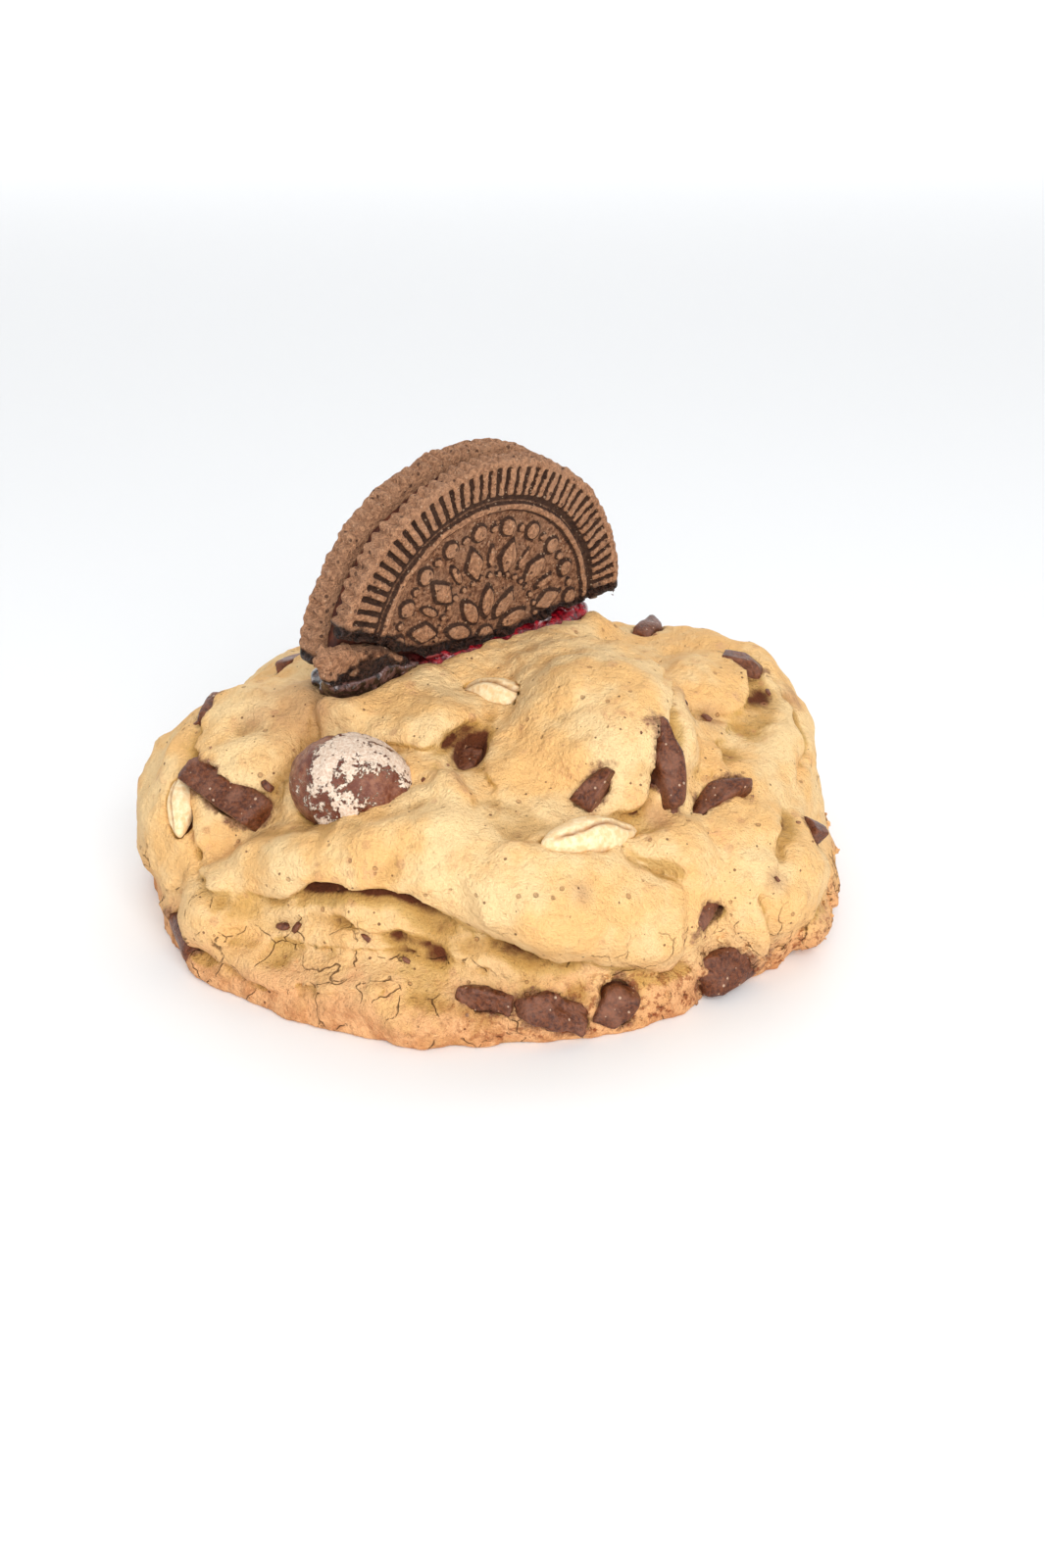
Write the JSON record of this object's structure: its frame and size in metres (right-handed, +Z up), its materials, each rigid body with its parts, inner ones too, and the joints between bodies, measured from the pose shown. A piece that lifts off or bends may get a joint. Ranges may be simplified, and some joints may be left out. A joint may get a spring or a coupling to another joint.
{
  "type": "new york-style cookie",
  "caption": "Thick domed cookie of folded golden dough with chocolate chunks and nuts baked in, and half a dark sandwich biscuit standing in jam on top.",
  "frame": {"origin": "middle of the flat underside, in the middle of the cookie's box", "axes": "+Z up out of the underside, +Y away from the viewer, +X to the viewer's right"},
  "size_m": [0.089, 0.0906, 0.0547],
  "materials": {
    "dough": "baked cookie dough, dry and matt, pale gold on top and browner at the rim",
    "wafer": "dry dark cocoa wafer, matt and grainy",
    "filling": "dark reddish brown filling, slightly moist",
    "jam": "dark red jam, wet and glossy",
    "chocolate": "milk and dark chocolate that has melted and set, satin",
    "floury_chocolate": "chocolate ball with a cracked pale floury crust",
    "nut": "pale blanched nut, satin"
  },
  "bodies": {
    "root": {"chocolate_slab_left": "chocolate", "chocolate_top_right": "chocolate", "chocolate_right_sliver": "chocolate", "chocolate_top_sliver": "chocolate", "chocolate_right_low": "chocolate", "chocolate_rim_right": "chocolate", "chocolate_rim_front": "chocolate", "chocolate_smear_front": "chocolate", "chocolate_smear_middle": "chocolate", "chocolate_right_side": "chocolate", "chocolate_far_right": "chocolate", "chocolate_skyline_right": "chocolate", "chocolate_skyline_left": "chocolate", "chocolate_left_edge": "chocolate", "chocolate_rim_left": "chocolate", "chocolate_cleft": "chocolate", "chocolate_back_high": "chocolate", "chocolate_back_right": "chocolate", "chocolate_back_rim": "chocolate", "chocolate_back_left": "chocolate", "chocolate_back_rim_right": "chocolate", "nut_left": "nut", "nut_middle": "nut", "nut_top": "nut", "nut_back": "nut", "chocolate_ball": "floury_chocolate", "dough": "dough", "wafer_front": "wafer", "wafer_back": "wafer", "wafer_foot": "wafer", "filling": "filling", "jam": "jam"}
  },
  "joints": []
}
